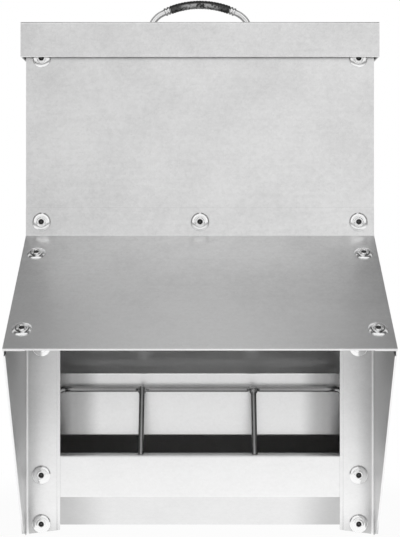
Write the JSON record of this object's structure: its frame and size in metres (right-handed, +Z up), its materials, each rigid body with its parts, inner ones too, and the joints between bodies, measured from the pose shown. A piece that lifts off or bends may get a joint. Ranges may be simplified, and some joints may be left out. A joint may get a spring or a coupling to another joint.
{
  "type": "poultry feeder",
  "caption": "Sheet-steel gravity feeder for poultry: tall hopper with hinged lid and handle, rain hood with side cheeks, low trough with a wire grille.",
  "frame": {"origin": "on the ground, under the middle of the whole feeder's box", "axes": "+Z up, -Y towards the hens (the hood and trough side), +X along the feeder's width"},
  "size_m": [0.308, 0.3592, 0.4824],
  "materials": {
    "galvanised_sheet": "satin galvanised",
    "zinc_wire": "bright zinc plate",
    "zinc_hardware": "zinc plate",
    "chromed_rod": "polished",
    "grip": "ribbed satin black",
    "rivet": "bright"
  },
  "bodies": {
    "feeder_body": {"left_side_panel": "galvanised_sheet", "right_side_panel": "galvanised_sheet", "front_panel": "galvanised_sheet", "back_panel": "galvanised_sheet", "trough": "galvanised_sheet", "feed_ramp": "galvanised_sheet", "rain_hood": "galvanised_sheet", "left_cheek": "galvanised_sheet", "right_cheek": "galvanised_sheet", "grille_frame": "zinc_wire", "left_grille_divider": "zinc_wire", "right_grille_divider": "zinc_wire", "left_hinge_body_leaf": "zinc_hardware", "right_hinge_body_leaf": "zinc_hardware", "left_hinge_pin": "zinc_hardware", "right_hinge_pin": "zinc_hardware", "front_panel_rivets": "rivet", "hood_flange_rivets": "rivet", "hood_centre_rivet": "rivet", "hood_roof_rivets": "rivet", "left_leg_rivets": "rivet", "right_leg_rivets": "rivet", "trough_front_rivets": "rivet", "back_panel_rivets": "rivet", "trough_rear_rivets": "rivet", "ramp_rivets": "rivet", "hinge_body_rivets": "rivet"},
    "lid": {"lid": "galvanised_sheet", "left_hinge_lid_leaf": "zinc_hardware", "right_hinge_lid_leaf": "zinc_hardware", "hinge_lid_rivets": "rivet", "left_handle_saddle": "zinc_hardware", "right_handle_saddle": "zinc_hardware", "saddle_rivets": "rivet"},
    "handle": {"handle_bail": "chromed_rod", "handle_grip": "grip", "grip_collars": "chromed_rod"}
  },
  "joints": [
    {"name": "lid_hinge", "type": "hinge", "parent": "feeder_body", "child": "lid", "pos_m": [0, 0.177, 0.4072], "axis": [-1, 0, 0], "range_deg": [0, 170]},
    {"name": "handle_pivot", "type": "hinge", "parent": "lid", "child": "handle", "pos_m": [0, 0.05795, 0.4439], "axis": [1, 0, 0], "range_deg": [-85, 85]}
  ]
}
